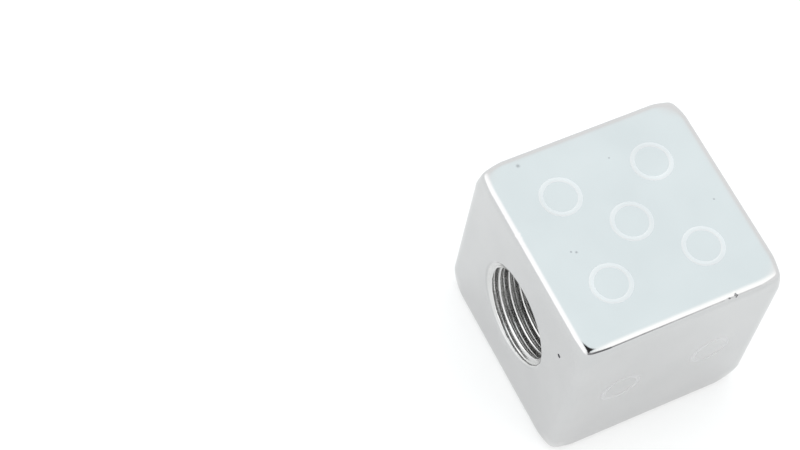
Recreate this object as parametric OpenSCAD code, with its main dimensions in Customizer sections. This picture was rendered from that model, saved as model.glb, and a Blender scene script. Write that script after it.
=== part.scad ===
// Cube-shaped tyre valve cap, dice style: a turned and polished metal block that screws
// onto the valve stem, with ring pips on five faces and the threaded bore in the sixth.
// Millimetres. The cap rests on the three-pip face, centred on the origin, and the bore
// opens towards -Y.

/* [Block] */
// Side of the cube over its flat faces
cube_side = 16; // [14:0.5:20]
// Radius rolled along the twelve edges
edge_radius = 0.6; // [0.3:0.1:1.2]
// Radius of the tumbled corners
corner_radius = 1; // [0.6:0.1:2]
// Length over which a corner's radius fades into that of its edges
corner_fade = 1; // [0.5:0.1:2]

/* [Bore] */
// Crest radius of the thread, which is the drilled wall
bore_radius = 3.45; // [3:0.05:4.2]
// Depth of the thread from the face
thread_depth = 9; // [6:0.5:10]
// Radius of the countersink where it meets the face
mouth_radius = 4.1; // [3.8:0.05:5]
// Depth of the countersink
mouth_depth = 0.35; // [0.2:0.05:0.8]
// Radius of the relief groove past the thread
relief_radius = 3.95; // [3.6:0.05:4.8]
// Length of the relief groove along the bore
relief_length = 1.7; // [1:0.1:2.5]

/* [Seal washer] */
// Thickness of the rubber washer
washer_thickness = 1.3; // [0.8:0.1:2]
// Radius of the hole that clears the valve pin
washer_hole_radius = 1.75; // [1:0.05:2.4]
// Gap between the washer's rim and the relief groove
washer_clearance = 0.15; // [0.05:0.05:0.4]

/* [Pips] */
// Outer radius of each ring
pip_radius = 1.55; // [1:0.05:1.8]
// Width of the ring's line
pip_line = 0.34; // [0.2:0.02:0.6]
// Depth of the etched line
pip_depth = 0.05; // [0.03:0.01:0.2]
// Distance from the middle of a face to its outer pips
pip_spread = 3.65; // [3.4:0.05:4.2]

/* [Hidden] */
$fn = 96;

half = cube_side / 2;
// Cut tools reach this far past the surface that they open
overcut = 1;
// Sides of the balls that round the block, and how far their facets' corners stand out
ball_sides = 32;
facet_reach = 1 / cos(180 / ball_sides);
bore_depth = thread_depth + relief_length;

five_pips = [[0, 0], [1, 1], [1, -1], [-1, 1], [-1, -1]];
two_pips = [[1, 0], [-1, 0]];
six_pips = [for (u = [-1, 0, 1]) for (v = [-1, 1]) [u, v]];
three_pips = [[-1, 1], [0, 0], [1, -1]];
four_pips = [for (u = [-1, 1]) for (v = [-1, 1]) [u, v]];

module ball(radius) {
    sphere(r = radius * facet_reach, $fn = ball_sides);
}

// One corner's balls: a large one in the corner, and a small one back along each edge
module corner_balls() {
    corner_place = half - corner_radius;
    edge_place = half - edge_radius;
    edge_start = corner_place - corner_fade;
    translate([corner_place, corner_place, corner_place]) ball(corner_radius);
    translate([edge_start, edge_place, edge_place]) ball(edge_radius);
    translate([edge_place, edge_start, edge_place]) ball(edge_radius);
    translate([edge_place, edge_place, edge_start]) ball(edge_radius);
}

// Cube with every edge rolled and every corner tumbled rounder than the edges
module worn_cube() {
    hull() {
        for (x = [0, 1]) for (y = [0, 1]) for (z = [0, 1]) {
            mirror([x, 0, 0]) mirror([0, y, 0]) mirror([0, 0, z]) corner_balls();
        }
    }
}

// Section of the bore: radius across, depth from the face upwards
module bore_section() {
    polygon([
        [0, -overcut],
        [mouth_radius, -overcut],
        [mouth_radius, 0],
        [bore_radius, mouth_depth],
        [bore_radius, thread_depth],
        [relief_radius, thread_depth],
        [relief_radius, bore_depth],
        [0, bore_depth]
    ]);
}

module bore() {
    translate([0, -half, 0]) rotate([-90, 0, 0]) rotate_extrude() bore_section();
}

// Ring grooves of one face, cut down into the plane z = half
module pip_grooves(places) {
    for (place = places) {
        translate([place.x * pip_spread, place.y * pip_spread, half - pip_depth]) {
            difference() {
                cylinder(r = pip_radius, h = pip_depth + overcut);
                translate([0, 0, -overcut]) cylinder(r = pip_radius - pip_line, h = pip_depth + 3 * overcut);
            }
        }
    }
}

module all_pip_grooves() {
    pip_grooves(five_pips);
    rotate([0, 90, 0]) rotate([0, 0, 90]) pip_grooves(two_pips);
    rotate([-90, 0, 0]) pip_grooves(six_pips);
    rotate([180, 0, 0]) pip_grooves(three_pips);
    rotate([0, -90, 0]) pip_grooves(four_pips);
}

module cap_body() {
    color("gainsboro") translate([0, 0, half]) difference() {
        worn_cube();
        bore();
        all_pip_grooves();
    }
}

// The washer lies flat against the blind end of the bore, trapped behind the thread.
module seal_washer() {
    color("dimgray") translate([0, bore_depth - half, half]) rotate([90, 0, 0]) difference() {
        cylinder(r = relief_radius - washer_clearance, h = washer_thickness);
        translate([0, 0, -overcut]) cylinder(r = washer_hole_radius, h = washer_thickness + 2 * overcut);
    }
}

cap_body();
seal_washer();
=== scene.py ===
# Looks of the cube-shaped tyre valve cap: polished metal block with ring pips, fine internal
# thread and rubber seal washer, on a plain white floor. The block and the washer are built in
# millimetres about the block's middle, then set in the frame of the CAD model, in metres.
import math

import bmesh
import bpy
import numpy as np
from mathutils import Matrix, Vector, noise
from mathutils.geometry import delaunay_2d_cdt


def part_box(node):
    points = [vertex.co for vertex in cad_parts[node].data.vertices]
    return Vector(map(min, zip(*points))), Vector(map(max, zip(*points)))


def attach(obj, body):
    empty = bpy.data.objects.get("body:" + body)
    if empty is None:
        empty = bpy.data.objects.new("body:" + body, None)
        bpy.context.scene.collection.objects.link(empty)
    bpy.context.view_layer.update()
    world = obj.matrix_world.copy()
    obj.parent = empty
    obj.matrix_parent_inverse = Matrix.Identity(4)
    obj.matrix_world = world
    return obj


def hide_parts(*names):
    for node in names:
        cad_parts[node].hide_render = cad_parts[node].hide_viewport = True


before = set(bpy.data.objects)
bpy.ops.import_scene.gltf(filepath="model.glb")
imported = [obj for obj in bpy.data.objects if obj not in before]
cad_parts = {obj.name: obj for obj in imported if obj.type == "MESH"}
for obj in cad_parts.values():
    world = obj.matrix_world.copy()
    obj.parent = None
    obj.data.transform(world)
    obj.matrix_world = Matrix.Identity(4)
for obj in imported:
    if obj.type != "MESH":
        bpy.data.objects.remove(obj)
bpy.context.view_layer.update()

MM = 0.001

# Camera, fitted to the photograph's outline, ring pips and bore
CAMERA_PLACE = Vector((55.857, -60.504, 149.738)) * MM
CAMERA_LOOK = Vector((-0.40105, 0.29585, -0.86697))
CAMERA_ROLL = math.radians(11.616)
SENSOR_WIDTH = 36.0
LENS = 102.517

# Light that the table itself gives, as under a photographer's light tent
FLOOR_GLOW = 0.45

# Block, with the sizes of the CAD model
block_low, block_high = (np.array(corner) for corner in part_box("cap_body"))
BLOCK_MIDDLE = (block_low + block_high) / 2 / MM
HALF = (block_high[0] - block_low[0]) / 2 / MM

# Rolled edges: width of the curve on each face and its power
EDGE_WIDTH = 0.95
EDGE_POWER = 3.2

# Tumbled corners: reach from the corner, and depth and power of the wear
CORNER_REACH = 2.0
CORNER_WEAR = 1.9
CORNER_POWER = 1.5

# Thread: radii of its crest and root, reach of the rounding, and depth of a crest straight above
# the bore's axis
THREAD_CREST = 3.45
THREAD_PITCH = 25.4 / 32
THREAD_ROOT = THREAD_CREST + 0.61 * THREAD_PITCH
THREAD_HALF_ANGLE = math.radians(30)
THREAD_ROUNDING = 0.15
THREAD_START = 0.375
THREAD_DEPTH = 9.0

# Countersink, whose rim is eased by a short curve
MOUTH_RADIUS = 4.1
MOUTH_DEPTH = 0.35
MOUTH_BREAK = 0.08
MOUTH_LEAN = math.atan2(MOUTH_DEPTH, MOUTH_RADIUS - THREAD_CREST)
MOUTH_SET_BACK = MOUTH_BREAK * math.tan(MOUTH_LEAN / 2)
# Depth at which the thread's rows start, just above the first root
ROWS_START = (MOUTH_RADIUS - THREAD_ROOT) * math.tan(MOUTH_LEAN) - 0.01

# Fine lines in the bore: how many the tap left in one pitch, the step of the turning lines on the
# countersink, both heights, and the length over which they fade at the ends
TAP_LINES = 3
TAP_LINE_HEIGHT = 0.016
CONE_LINE_STEP = 0.12
CONE_LINE_HEIGHT = 0.02
LINE_FADE = 0.04

# Blind end of the bore
RELIEF_RADIUS = 3.95
BORE_DEPTH = 10.7

# Seal washer
WASHER_THICKNESS = 1.3
WASHER_RADIUS = 3.8
WASHER_HOLE = 1.75
WASHER_ROUNDING = 0.2
WASHER_SEGMENTS = 96

# Ring pips
PIP_RADIUS = 1.55
PIP_LINE = 0.34
PIP_DEPTH = 0.02
PIP_SLOPE = 0.06
PIP_SPREAD = 3.65

# Mesh fineness
ARC_STEPS = 16
FLAT_STEPS = 4
EDGE_STEP = 0.12
NICK_STEP = 0.025
PIP_SEGMENTS = 72
BORE_SEGMENTS = 128
THREAD_ROWS = 32
PROFILE_SAMPLES = 480
PIT_SEGMENTS = 16
BISECTIONS = 50
WELD_DISTANCE = 0.0002
SHARP_ANGLE = math.radians(28)

# Unevenness of the rolled edges from tumbling: depth, waves in a millimetre, share and closeness
# of the finer waves, and the mean sinking
RIPPLE_DEPTH = 0.004
RIPPLE_PER_MM = 0.8
FINE_RIPPLE = 0.35
FINE_RIPPLE_TIMES = 3
RIPPLE_LEVEL = 0.6

X_AXIS, Y_AXIS, Z_AXIS = np.eye(3)

# Faces by name: the two directions along the face, and the one out of it
FACES = {
    "five": (X_AXIS, Y_AXIS, Z_AXIS),
    "three": (X_AXIS, -Y_AXIS, -Z_AXIS),
    "two": (Y_AXIS, Z_AXIS, X_AXIS),
    "six": (X_AXIS, -Z_AXIS, Y_AXIS),
    "four": (Z_AXIS, Y_AXIS, -X_AXIS),
    "bore": (X_AXIS, Z_AXIS, -Y_AXIS),
}

# Places of the pips, in steps of PIP_SPREAD along the face
PIPS = {
    "five": [(0, 0), (1, 1), (1, -1), (-1, 1), (-1, -1)],
    "three": [(-1, 1), (0, 0), (1, -1)],
    "two": [(1, 0), (-1, 0)],
    "six": [(u, v) for u in (-1, 0, 1) for v in (-1, 1)],
    "four": [(u, v) for u in (-1, 1) for v in (-1, 1)],
    "bore": [],
}

# Small pit seen beside the bore: place on the face, radius and depth
PITS = {
    "bore": [(5.57, 3.97, 0.17, 0.14)],
}

# Faint dark specks on the five-pip face: place and radius
SPECKS = [
    ((-6.99, -5.24, 8), 0.16),
    ((-5.07, 0.98, 8), 0.07),
    ((0.45, -5.05, 8), 0.09),
    ((0.62, -4.72, 8), 0.11),
    ((0.72, 6.19, 8), 0.08),
]

# Nicks on the rolled edges: middle, reach along x, y and z, and depth
NICKS = [
    ((-2.22, -7.73, 7.90), (0.10, 0.16, 0.16), 0.05),
    ((-1.90, -7.70, 7.92), (0.06, 0.12, 0.12), 0.03),
    ((7.84, 3.84, 7.80), (0.26, 0.07, 0.26), 0.09),
    ((7.88, 3.24, 7.74), (0.10, 0.12, 0.10), 0.03),
]

# Spread and strength of a speck's fade, and its colour
SPECK_SPREAD = 1.4
SPECK_STRENGTH = 0.6
SPECK_COLOUR = (0.2, 0.2, 0.21, 1)

# Finishes of the block, in the order of its material slots: light and dark colour, lowest and
# highest roughness, strength and size of the grain
POLISHED, ETCHED, CUT, PIT_SHADE = range(4)
METALS = [
    dict(name="polished_metal", light=(0.558, 0.559, 0.561), dark=(0.533, 0.535, 0.538),
         smooth=0.08, rough=0.13, grain=0.05, grain_size=0.3, stretch=(1, 0.2, 1), specks=SPECKS),
    dict(name="etched_metal", light=(0.64, 0.64, 0.645), dark=(0.59, 0.59, 0.595),
         smooth=0.32, rough=0.46, grain=0.3, grain_size=0.05),
    dict(name="cut_metal", light=(0.70, 0.70, 0.695), dark=(0.60, 0.60, 0.595),
         smooth=0.18, rough=0.3, grain=0.2, grain_size=0.08),
    # The pit's finish is painted shade: a near-black colour over the whole pit bowl, standing in for
    # the shade in the hollow.
    dict(name="pit_painted_shade", light=(0.10, 0.10, 0.11), dark=(0.04, 0.04, 0.05),
         smooth=0.4, rough=0.7, grain=0.3, grain_size=0.05),
]
MOTTLE_PER_METRE = 260
GRAIN_HEIGHT = 0.01

# Light of the room that the metal mirrors, as shares of the white that the camera sees
WALLS = (1.25, 1.25, 1.25)
CEILING = (1.32, 1.445, 1.47)
LAMP = (1.88, 1.88, 1.85)
WINDOW = (1.85, 1.85, 1.85)
DIM_GAP = (0.4, 0.4, 0.41)
DARK_GAP = (0.24, 0.24, 0.25)
CAMERA_BODY = (0.03, 0.03, 0.03)
CAMERA_STAND = (0.05, 0.05, 0.05)


def unit(vectors):
    """The vectors at length 1."""
    return vectors / np.linalg.norm(vectors, axis=-1, keepdims=True)


def grid_faces(rows, columns):
    """Quads of a grid of points that is stored row by row."""
    return [
        (r * columns + c, r * columns + c + 1, (r + 1) * columns + c + 1, (r + 1) * columns + c)
        for r in range(rows - 1)
        for c in range(columns - 1)
    ]


class Shell:
    """Patches of one closed surface, which are welded where their rims meet."""

    def __init__(self):
        self.points = []
        self.faces = []
        self.finishes = []
        self.normals = []

    def add(self, points, facing, faces, finish=POLISHED, exact=None):
        """Adds a patch. facing is about the way out of the metal at each point, and the true
        normal at the points that exact marks."""
        points = np.asarray(points, float)
        facing = np.broadcast_to(np.asarray(facing, float), points.shape)
        marked = np.zeros(len(points), bool) if exact is None else np.broadcast_to(exact, len(points))
        normals = np.where(marked[:, None], facing, 0)
        start = len(self.points)
        self.points.extend(points)
        for face in faces:
            corners = points[list(face)]
            if len(face) == 3:
                way_out = np.cross(corners[1] - corners[0], corners[2] - corners[0])
            else:
                way_out = np.cross(corners[2] - corners[0], corners[3] - corners[1])
            ordered = face if way_out @ facing[list(face)].sum(axis=0) >= 0 else face[::-1]
            self.faces.append(tuple(start + index for index in ordered))
            self.normals.extend(normals[list(ordered)])
            self.finishes.append(finish)

    def build(self, name, middle):
        """The welded mesh as an object, set about the point middle and turned into metres."""
        mesh = bpy.data.meshes.new(name)
        mesh.from_pydata(((np.array(self.points) + middle) * MM).tolist(), [], self.faces)
        mesh.polygons.foreach_set("material_index", self.finishes)
        mesh.polygons.foreach_set("use_smooth", [True] * len(self.faces))
        kept = mesh.attributes.new("kept_normal", "FLOAT_VECTOR", "CORNER")
        kept.data.foreach_set("vector", np.array(self.normals, np.float32).ravel())
        welded = bmesh.new()
        welded.from_mesh(mesh)
        bmesh.ops.remove_doubles(welded, verts=welded.verts, dist=WELD_DISTANCE * MM)
        welded.to_mesh(mesh)
        welded.free()
        mesh.set_sharp_from_angle(angle=SHARP_ANGLE)
        corners = len(mesh.loops)
        worked_out = np.zeros(corners * 3, np.float32)
        mesh.corner_normals.foreach_get("vector", worked_out)
        exact = np.zeros(corners * 3, np.float32)
        mesh.attributes["kept_normal"].data.foreach_get("vector", exact)
        exact = exact.reshape(-1, 3)
        marked = np.linalg.norm(exact, axis=1, keepdims=True) > 0.5
        mesh.normals_split_custom_set(np.where(marked, exact, worked_out.reshape(-1, 3)).tolist())
        mesh.attributes.remove(mesh.attributes["kept_normal"])
        shown = bpy.data.objects.new(name, mesh)
        bpy.context.scene.collection.objects.link(shown)
        return shown


def turned(section, segments, middle, first, second, axis):
    """Points of a section of (radius, height) turned round an axis, one row for each of its points."""
    angles = np.linspace(0, 2 * math.pi, segments + 1)
    spokes = np.outer(np.cos(angles), first) + np.outer(np.sin(angles), second)
    return np.concatenate([middle + radius * spokes + height * axis for radius, height in section])


def turned_in_bore(section, segments):
    """Points of a section of (radius, depth) turned round the bore's axis."""
    return turned(section, segments, -HALF * Y_AXIS, Z_AXIS, X_AXIS, Y_AXIS)


def edge_section():
    """Section over a rolled edge, from CORNER_REACH back on one face to the same on the other, as
    distances from the lines where the corners start."""
    angles = np.linspace(0, math.pi / 2, ARC_STEPS + 1)
    curve = np.stack([np.cos(angles), np.sin(angles)], axis=1) ** (2 / EDGE_POWER)
    curve = CORNER_REACH - EDGE_WIDTH + EDGE_WIDTH * curve
    flat = np.linspace(0, CORNER_REACH - EDGE_WIDTH, FLAT_STEPS + 1)[:-1]
    start = np.stack([np.full(FLAT_STEPS, CORNER_REACH), flat], axis=1)
    return np.concatenate([start, curve, start[::-1, ::-1]])


def block_form(places):
    """1 on the block's surface and less inside, at places measured from the start of a corner."""
    rolled = np.maximum(places - CORNER_REACH + EDGE_WIDTH, 0) / EDGE_WIDTH
    worn = np.maximum(places, 0).prod(axis=1) / CORNER_REACH ** 3
    return (rolled ** EDGE_POWER).sum(axis=1) + CORNER_WEAR * worn ** CORNER_POWER


def form_normals(places):
    """Normals of the block's surface at such places."""
    step = 1e-5 * np.eye(3)
    return unit(np.stack([block_form(places + d) - block_form(places - d) for d in step], axis=1))


def edge_stations(first, second):
    """Places along the edge between two faces, closer together at its nicks."""
    along = np.abs(np.cross(first, second))
    reach = HALF - CORNER_REACH
    places = [np.linspace(-reach, reach, round(2 * reach / EDGE_STEP) + 1)]
    for middle, spread, depth in NICKS:
        middle = np.array(middle)
        if middle @ first > reach and middle @ second > reach:
            near, width = middle @ along, 3 * (np.array(spread) @ along)
            places.append(np.arange(near - width, near + width, NICK_STEP))
    return np.unique(np.concatenate(places).round(6))


def wear(points, normals):
    """Points of the rolled edges and corners, moved in by ripples and nicks. The flat faces' rims
    stay in place."""
    off_flat = 1 - np.abs(normals).max(axis=1) ** 8
    ripple = np.array([noise.noise(Vector(point) * RIPPLE_PER_MM) for point in points])
    fine = [noise.noise(Vector(point) * FINE_RIPPLE_TIMES * RIPPLE_PER_MM) for point in points]
    ripple += FINE_RIPPLE * np.array(fine)
    sink = RIPPLE_DEPTH * (RIPPLE_LEVEL - ripple)
    for middle, reach, depth in NICKS:
        distance = np.linalg.norm((points - np.array(middle)) / np.array(reach), axis=1)
        sink = sink + depth * np.exp(-distance ** 2)
    return points - normals * (sink * off_flat)[:, None]


def on_flat(normals):
    """Marks the points whose normal is that of a flat face."""
    return np.abs(normals).max(axis=1) > 1 - 1e-8


def add_edge(shell, first, second):
    """Rolled edge between two faces."""
    along = np.abs(np.cross(first, second))
    stations = edge_stations(first, second)
    section = edge_section()
    places = np.column_stack([section, np.zeros(len(section))])
    axes = np.stack([first, second, along])
    around = (HALF - CORNER_REACH) * (first + second) + places @ axes
    points = np.concatenate([around + station * along for station in stations])
    facing = np.tile(form_normals(places) @ axes, (len(stations), 1))
    faces = grid_faces(len(stations), len(section))
    shell.add(wear(points, facing), facing, faces, exact=on_flat(facing))


def add_corner(shell, signs):
    """Tumbled corner between three rolled edges."""
    signs = np.array(signs)
    section = edge_section()
    steps = len(section) - 1
    angles = np.arctan2(section[:, 1], section[:, 0])
    index = {}
    ways = []
    for i in range(steps + 1):
        for j in range(steps + 1 - i):
            index[i, j] = len(ways)
            ways.append(np.sin(angles[[i, j, steps - i - j]]))
    ways = unit(np.array(ways))
    near = np.zeros(len(ways))
    far = np.full(len(ways), 2 * CORNER_REACH)
    for _ in range(BISECTIONS):
        middle = (near + far) / 2
        inside = block_form(ways * middle[:, None]) < 1
        near = np.where(inside, middle, near)
        far = np.where(inside, far, middle)
    places = ways * far[:, None]
    normals = form_normals(places) * signs
    points = (HALF - CORNER_REACH + places) * signs
    faces = []
    for i in range(steps):
        for j in range(steps - i):
            faces.append((index[i, j], index[i + 1, j], index[i, j + 1]))
            if j < steps - i - 1:
                faces.append((index[i + 1, j], index[i + 1, j + 1], index[i, j + 1]))
    shell.add(wear(points, normals), normals, faces, exact=on_flat(normals))


def face_rim(u_axis, v_axis, out):
    """Outline of a face's flat part, counter-clockwise, as (u, v)."""
    rim = []
    for side, run in ((-v_axis, u_axis), (u_axis, v_axis), (v_axis, -u_axis), (-u_axis, -v_axis)):
        along = np.abs(np.cross(out, side))
        stations = edge_stations(out, side)
        places = stations[:, None] * along + (HALF - CORNER_REACH) * side
        ordered = places[np.argsort(places @ run)][:-1]
        rim.extend(zip(ordered @ u_axis, ordered @ v_axis))
    return rim


def circle(middle, radius, segments):
    """Points of a circle as (u, v)."""
    angles = np.arange(segments) * 2 * math.pi / segments
    return [(middle[0] + radius * math.cos(a), middle[1] + radius * math.sin(a)) for a in angles]


def add_flat(shell, face, holes):
    """Flat part of a face, round its holes of (middle, radius, segments)."""
    u_axis, v_axis, out = FACES[face]
    loops = [face_rim(u_axis, v_axis, out)] + [circle(*hole) for hole in holes]
    flat = [point for loop in loops for point in loop]
    lines = []
    start = 0
    for loop in loops:
        lines.extend((start + i, start + (i + 1) % len(loop)) for i in range(len(loop)))
        start += len(loop)
    found = delaunay_2d_cdt([Vector(point) for point in flat], lines, [], 1, 1e-7)
    source = [origins[0] for origins in found[3]]
    flat = np.array(flat)
    triangles = []
    for triangle in found[2]:
        corners = tuple(source[index] for index in triangle)
        middle = flat[list(corners)].mean(axis=0)
        if all(math.dist(middle, place) > radius * 0.9999 * math.cos(math.pi / segments)
               for place, radius, segments in holes):
            triangles.append(corners)
    points = flat[:, :1] * u_axis + flat[:, 1:] * v_axis + HALF * out
    shell.add(points, out, triangles, exact=True)


def add_pip(shell, face, place):
    """Ring etched into a face, and the polished disc inside it."""
    u_axis, v_axis, out = FACES[face]
    middle = place[0] * u_axis + place[1] * v_axis + HALF * out
    inner = PIP_RADIUS - PIP_LINE
    section = [
        (PIP_RADIUS, 0),
        (PIP_RADIUS - PIP_SLOPE, -PIP_DEPTH),
        (inner + PIP_SLOPE, -PIP_DEPTH),
        (inner, 0),
    ]
    ring = turned(section, PIP_SEGMENTS, middle, u_axis, v_axis, out)
    shell.add(ring, out, grid_faces(len(section), PIP_SEGMENTS + 1), finish=ETCHED)
    disc = turned([(inner, 0), (inner / 2, 0), (0, 0)], PIP_SEGMENTS, middle, u_axis, v_axis, out)
    shell.add(disc, out, grid_faces(3, PIP_SEGMENTS + 1), exact=True)


def add_pit(shell, face, place, radius, depth):
    """Small bowl in a face, whose whole surface takes a near-black colour as painted shade."""
    u_axis, v_axis, out = FACES[face]
    middle = place[0] * u_axis + place[1] * v_axis + HALF * out
    shares = (1, 0.85, 0.7, 0.5, 0.25, 0)
    section = [(radius * share, -depth * (1 - share ** 2)) for share in shares]
    points = turned(section, PIT_SEGMENTS, middle, u_axis, v_axis, out)
    # Painted shade: the whole bowl is coloured near-black rather than left to show its reflections.
    shell.add(points, out, grid_faces(len(section), PIT_SEGMENTS + 1), finish=PIT_SHADE)


def thread_profile():
    """One turn of the thread: shares of the pitch and radii, with rounded crest and root."""
    fine = np.arange(PROFILE_SAMPLES) / PROFILE_SAMPLES
    flank_share = (THREAD_ROOT - THREAD_CREST) * math.tan(THREAD_HALF_ANGLE) / THREAD_PITCH
    flat_share = (1 - 2 * flank_share) / 2
    from_root = np.abs(fine - 0.5) - flat_share / 2
    sharp = THREAD_ROOT - (THREAD_ROOT - THREAD_CREST) * np.clip(from_root / flank_share, 0, 1)
    window = np.hanning(2 * round(PROFILE_SAMPLES * THREAD_ROUNDING / THREAD_PITCH) + 1)
    window /= window.sum()
    reach = len(window) // 2
    rounded = np.convolve(np.concatenate([sharp[-reach:], sharp, sharp[:reach]]), window, "valid")
    pick = np.arange(0, PROFILE_SAMPLES, PROFILE_SAMPLES // THREAD_ROWS)
    return fine[pick], rounded[pick]


def thread_wall(angles):
    """Radii and depths of the threaded wall, one row for each step along the thread and one
    column for each angle. The countersink cuts the thread off at the mouth."""
    shares, radii = thread_profile()
    turns = np.arange(-2, math.ceil(THREAD_DEPTH / THREAD_PITCH) + 1)
    row_depths = THREAD_PITCH * np.concatenate([shares + turn for turn in turns])
    lead = THREAD_START + THREAD_PITCH * angles / (2 * math.pi)
    endless = row_depths[:, None] + lead
    depths = np.clip(endless, ROWS_START, THREAD_DEPTH)
    from_crest = depths - lead
    cut = np.interp((from_crest / THREAD_PITCH) % 1, np.append(shares, 1), np.append(radii, radii[0]))
    inside = (endless > ROWS_START) & (endless < THREAD_DEPTH)
    cut = np.where(inside, np.tile(radii, len(turns))[:, None], cut)
    cone = MOUTH_RADIUS - depths / math.tan(MOUTH_LEAN)
    tap_lines = TAP_LINE_HEIGHT * np.cos(2 * math.pi * TAP_LINES * from_crest / THREAD_PITCH)
    cone_lines = CONE_LINE_HEIGHT * np.cos(2 * math.pi * depths / CONE_LINE_STEP)
    lines = np.where(cone > cut, cone_lines, tap_lines)
    from_end = np.minimum(depths - ROWS_START, THREAD_DEPTH - depths)
    return np.maximum(cut, cone) + lines * np.clip(from_end / LINE_FADE, 0, 1), depths


def add_bore(shell):
    """Countersunk blind bore with its right-handed thread and relief groove."""
    middle = -HALF * Y_AXIS
    angles = np.linspace(0, 2 * math.pi, BORE_SEGMENTS + 1)
    spokes = np.outer(np.cos(angles), Z_AXIS) + np.outer(np.sin(angles), X_AXIS)
    columns = len(angles)

    rim = [
        (MOUTH_RADIUS + MOUTH_SET_BACK - MOUTH_BREAK * math.sin(a), MOUTH_BREAK * (1 - math.cos(a)))
        for a in np.linspace(0, MOUTH_LEAN, 5)
    ]
    rim.append((MOUTH_RADIUS - ROWS_START / math.tan(MOUTH_LEAN), ROWS_START))
    points = turned_in_bore(rim, BORE_SEGMENTS)
    shell.add(points, np.tile(-spokes, (len(rim), 1)) - Y_AXIS, grid_faces(len(rim), columns))

    radii, depths = thread_wall(angles)
    points = middle + radii[..., None] * spokes + depths[..., None] * Y_AXIS
    facing = np.tile(-spokes, (len(radii), 1))
    shell.add(points.reshape(-1, 3), facing, grid_faces(len(radii), columns), finish=CUT)

    groove = middle + RELIEF_RADIUS * spokes + THREAD_DEPTH * Y_AXIS
    shell.add(np.concatenate([points[-1], groove]), Y_AXIS, grid_faces(2, columns), finish=CUT)
    wall = turned_in_bore([(RELIEF_RADIUS, THREAD_DEPTH), (RELIEF_RADIUS, BORE_DEPTH)], BORE_SEGMENTS)
    shell.add(wall, np.tile(-spokes, (2, 1)), grid_faces(2, columns), finish=CUT)
    end = turned_in_bore([(RELIEF_RADIUS, BORE_DEPTH), (1, BORE_DEPTH), (0, BORE_DEPTH)], BORE_SEGMENTS)
    shell.add(end, -Y_AXIS, grid_faces(3, columns), finish=CUT)


def make_block():
    """The whole metal cap as one closed mesh."""
    shell = Shell()
    outs = [out for _, _, out in FACES.values()]
    for i, first in enumerate(outs):
        for second in outs[i + 1:]:
            if abs(first @ second) < 0.5:
                add_edge(shell, first, second)
    for x in (-1, 1):
        for y in (-1, 1):
            for z in (-1, 1):
                add_corner(shell, (x, y, z))
    for face, places in PIPS.items():
        pips = [(PIP_SPREAD * u, PIP_SPREAD * v) for u, v in places]
        pits = PITS.get(face, [])
        holes = [(place, PIP_RADIUS, PIP_SEGMENTS) for place in pips]
        holes += [((u, v), radius, PIT_SEGMENTS) for u, v, radius, depth in pits]
        if face == "bore":
            holes.append(((0, 0), MOUTH_RADIUS + MOUTH_SET_BACK, BORE_SEGMENTS))
        add_flat(shell, face, holes)
        for place in pips:
            add_pip(shell, face, place)
        for u, v, radius, depth in pits:
            add_pit(shell, face, (u, v), radius, depth)
    add_bore(shell)
    return shell.build("polished_block", BLOCK_MIDDLE)


def make_washer():
    """Rubber seal washer with eased rims, against the blind end of the bore."""
    shell = Shell()
    section = []
    far = BORE_DEPTH
    near = BORE_DEPTH - WASHER_THICKNESS
    inset = WASHER_ROUNDING
    for radius, depth, start in (
        (WASHER_RADIUS - inset, near + inset, -90),
        (WASHER_RADIUS - inset, far - inset, 0),
        (WASHER_HOLE + inset, far - inset, 90),
        (WASHER_HOLE + inset, near + inset, 180),
    ):
        for angle in np.radians(np.linspace(start, start + 90, 5)):
            section.append((radius + inset * math.cos(angle), depth + inset * math.sin(angle)))
    section.append(section[0])
    core = [((WASHER_RADIUS + WASHER_HOLE) / 2, (near + far) / 2)] * len(section)
    points = turned_in_bore(section, WASHER_SEGMENTS)
    facing = points - turned_in_bore(core, WASHER_SEGMENTS)
    shell.add(points, facing, grid_faces(len(section), WASHER_SEGMENTS + 1))
    return shell.build("rubber_washer", BLOCK_MIDDLE)


def new_material(name):
    """Empty node material, its node tree and its shader."""
    material = bpy.data.materials.new(name)
    material.use_nodes = True
    return material, material.node_tree, material.node_tree.nodes["Principled BSDF"]


def noise_node(tree, scale, detail, stretch=(1, 1, 1)):
    """Noise over the object's own coordinates, in features per metre."""
    place = tree.nodes.new("ShaderNodeTexCoord")
    mapping = tree.nodes.new("ShaderNodeMapping")
    mapping.inputs["Scale"].default_value = stretch
    tree.links.new(place.outputs["Object"], mapping.inputs["Vector"])
    texture = tree.nodes.new("ShaderNodeTexNoise")
    texture.inputs["Scale"].default_value = scale
    texture.inputs["Detail"].default_value = detail
    tree.links.new(mapping.outputs["Vector"], texture.inputs["Vector"])
    return texture.outputs["Fac"]


def spread(tree, factor, low, high):
    """The factor's middle range spread from low to high."""
    node = tree.nodes.new("ShaderNodeMapRange")
    node.inputs["From Min"].default_value = 0.3
    node.inputs["From Max"].default_value = 0.7
    node.inputs["To Min"].default_value = low
    node.inputs["To Max"].default_value = high
    tree.links.new(factor, node.inputs["Value"])
    return node.outputs["Result"]


def blend_colours(tree, factor, first, second):
    """Colour between two, by the factor."""
    node = tree.nodes.new("ShaderNodeMix")
    node.data_type = "RGBA"
    node.inputs["A"].default_value = (*first, 1)
    node.inputs["B"].default_value = (*second, 1)
    tree.links.new(factor, node.inputs["Factor"])
    return node.outputs["Result"]


def bump(tree, height, strength, distance):
    """Normal from a height."""
    node = tree.nodes.new("ShaderNodeBump")
    node.inputs["Strength"].default_value = strength
    node.inputs["Distance"].default_value = distance
    tree.links.new(height, node.inputs["Height"])
    return node.outputs["Normal"]


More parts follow.
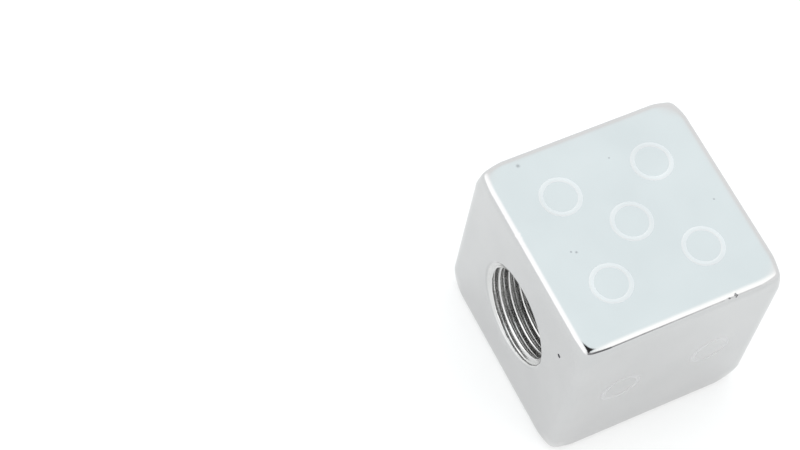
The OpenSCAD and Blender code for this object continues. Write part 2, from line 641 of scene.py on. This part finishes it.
def add_speck(tree, colour, place, radius):
    """Colour with a small soft dark spot at a place on the block."""
    here = tree.nodes.new("ShaderNodeTexCoord").outputs["Object"]
    gap = tree.nodes.new("ShaderNodeVectorMath")
    gap.operation = "DISTANCE"
    gap.inputs[1].default_value = (np.array(place) + BLOCK_MIDDLE) * MM
    tree.links.new(here, gap.inputs[0])
    fade = tree.nodes.new("ShaderNodeMapRange")
    fade.interpolation_type = "SMOOTHSTEP"
    fade.inputs["From Min"].default_value = SPECK_SPREAD * radius * MM
    fade.inputs["From Max"].default_value = 0
    fade.inputs["To Max"].default_value = SPECK_STRENGTH
    tree.links.new(gap.outputs["Value"], fade.inputs["Value"])
    mix = tree.nodes.new("ShaderNodeMix")
    mix.data_type = "RGBA"
    mix.inputs["B"].default_value = SPECK_COLOUR
    tree.links.new(fade.outputs["Result"], mix.inputs["Factor"])
    tree.links.new(colour, mix.inputs["A"])
    return mix.outputs["Result"]


def metal(name, light, dark, smooth, rough, grain, grain_size, stretch=(1, 1, 1), specks=()):
    """Metal whose colour and roughness are mottled, with a fine grain."""
    material, tree, shader = new_material(name)
    shader.inputs["Metallic"].default_value = 1.0
    mottle = noise_node(tree, MOTTLE_PER_METRE, 4)
    fine = noise_node(tree, 1 / (grain_size * MM), 3, stretch)
    colour = blend_colours(tree, spread(tree, mottle, 0, 1), dark, light)
    for place, radius in specks:
        colour = add_speck(tree, colour, place, radius)
    tree.links.new(colour, shader.inputs["Base Color"])
    tree.links.new(spread(tree, fine, smooth, rough), shader.inputs["Roughness"])
    tree.links.new(bump(tree, fine, grain, GRAIN_HEIGHT * MM), shader.inputs["Normal"])
    return material


def rubber():
    """Black moulded rubber with a fine grain."""
    material, tree, shader = new_material("seal_rubber")
    mottle = noise_node(tree, 900, 4)
    fine = noise_node(tree, 6000, 3)
    tree.links.new(blend_colours(tree, mottle, (0.018, 0.018, 0.019), (0.04, 0.04, 0.04)),
                   shader.inputs["Base Color"])
    tree.links.new(spread(tree, fine, 0.55, 0.75), shader.inputs["Roughness"])
    tree.links.new(bump(tree, fine, 0.4, 0.03 * MM), shader.inputs["Normal"])
    return material


def make_camera():
    """Camera at the photograph's viewing angle."""
    data = bpy.data.cameras.new("camera")
    data.sensor_width = SENSOR_WIDTH
    data.lens = LENS
    data.clip_start = 1 * MM
    data.clip_end = 10
    camera = bpy.data.objects.new("camera", data)
    bpy.context.scene.collection.objects.link(camera)
    back = -CAMERA_LOOK.normalized()
    level_right = Vector((0, 0, 1)).cross(back).normalized()
    level_up = back.cross(level_right)
    right = level_right * math.cos(CAMERA_ROLL) + level_up * math.sin(CAMERA_ROLL)
    up = back.cross(right)
    axes = Matrix((right, up, back)).transposed()
    camera.matrix_world = Matrix.Translation(CAMERA_PLACE) @ axes.to_4x4()
    bpy.context.scene.camera = camera


def make_floor():
    """Plain white floor under the cap."""
    reach = 1.5
    drop = 0.02 * MM
    mesh = bpy.data.meshes.new("floor")
    corners = [(x * reach, y * reach, -drop) for x, y in ((-1, -1), (1, -1), (1, 1), (-1, 1))]
    mesh.from_pydata(corners, [], [(0, 1, 2, 3)])
    floor = bpy.data.objects.new("floor", mesh)
    bpy.context.scene.collection.objects.link(floor)
    material, tree, shader = new_material("white_floor")
    shader.inputs["Base Color"].default_value = (0.55, 0.55, 0.55, 1)
    shader.inputs["Roughness"].default_value = 0.9
    shader.inputs["Specular IOR Level"].default_value = 0.1
    shader.inputs["Emission Color"].default_value = (1, 1, 1, 1)
    shader.inputs["Emission Strength"].default_value = FLOOR_GLOW
    mesh.materials.append(material)


def direction(azimuth, elevation):
    """Unit vector at an azimuth from +X and an elevation, in degrees."""
    a, e = math.radians(azimuth), math.radians(elevation)
    return (math.cos(e) * math.cos(a), math.cos(e) * math.sin(a), math.sin(e))


def make_world():
    """Soft studio room: white walls, a bluish white ceiling, a lamp behind on the right, a window
    at the front left, a dark gap on the right, and the camera with its stand."""
    world = bpy.data.worlds.new("studio")
    world.use_nodes = True
    tree = world.node_tree
    background = tree.nodes["Background"]
    place = tree.nodes.new("ShaderNodeTexCoord").outputs["Generated"]

    def window(value, start, end):
        node = tree.nodes.new("ShaderNodeMapRange")
        node.interpolation_type = "SMOOTHSTEP"
        node.inputs["From Min"].default_value = start
        node.inputs["From Max"].default_value = end
        tree.links.new(value, node.inputs["Value"])
        return node.outputs["Result"]

    def towards(azimuth, elevation):
        node = tree.nodes.new("ShaderNodeVectorMath")
        node.operation = "DOT_PRODUCT"
        node.inputs[1].default_value = direction(azimuth, elevation)
        tree.links.new(place, node.inputs[0])
        return node.outputs["Value"]

    def times(first, second):
        node = tree.nodes.new("ShaderNodeMath")
        node.operation = "MULTIPLY"
        tree.links.new(first, node.inputs[0])
        tree.links.new(second, node.inputs[1])
        return node.outputs["Value"]

    def paint(sky, factor, colour):
        node = tree.nodes.new("ShaderNodeMix")
        node.data_type = "RGBA"
        node.clamp_result = False
        tree.links.new(factor, node.inputs["Factor"])
        tree.links.new(sky, node.inputs["A"])
        node.inputs["B"].default_value = (*colour, 1)
        return node.outputs["Result"]

    def lobe(azimuth, elevation, inner, outer):
        start, end = (math.cos(math.radians(angle)) for angle in (outer, inner))
        return window(towards(azimuth, elevation), start, end)

    height = tree.nodes.new("ShaderNodeSeparateXYZ")
    tree.links.new(place, height.inputs[0])

    def level(start, end):
        return window(height.outputs["Z"], math.sin(math.radians(start)), math.sin(math.radians(end)))

    walls = tree.nodes.new("ShaderNodeRGB")
    walls.outputs[0].default_value = (*WALLS, 1)
    sky = paint(walls.outputs[0], level(30, 58), CEILING)
    sky = paint(sky, times(lobe(38, 36, 10, 50), level(21, 30)), LAMP)
    sky = paint(sky, lobe(-112, 12, 30, 66), WINDOW)
    gap = times(level(34, 28), level(2, 7))
    sky = paint(sky, times(lobe(-12, 18, 28, 38), gap), DIM_GAP)
    sky = paint(sky, times(lobe(6, 14, 13, 19), gap), DARK_GAP)
    sky = paint(sky, lobe(-47, 60, 15, 19), CAMERA_BODY)
    sky = paint(sky, lobe(-44, 40, 9, 14), CAMERA_STAND)

    plain = tree.nodes.new("ShaderNodeLightPath").outputs["Is Camera Ray"]
    sky = paint(sky, plain, (1.0, 1.0, 1.0))
    tree.links.new(sky, background.inputs["Color"])
    bpy.context.scene.world = world


make_camera()

block = make_block()
for finish in METALS:
    block.data.materials.append(metal(**finish))
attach(block, "root")
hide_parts("cap_body")

washer = make_washer()
washer.data.materials.append(rubber())
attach(washer, "root")
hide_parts("seal_washer")

make_floor()
make_world()
bpy.context.scene.view_settings.view_transform = "Standard"
bpy.context.scene.cycles.glossy_bounces = 10
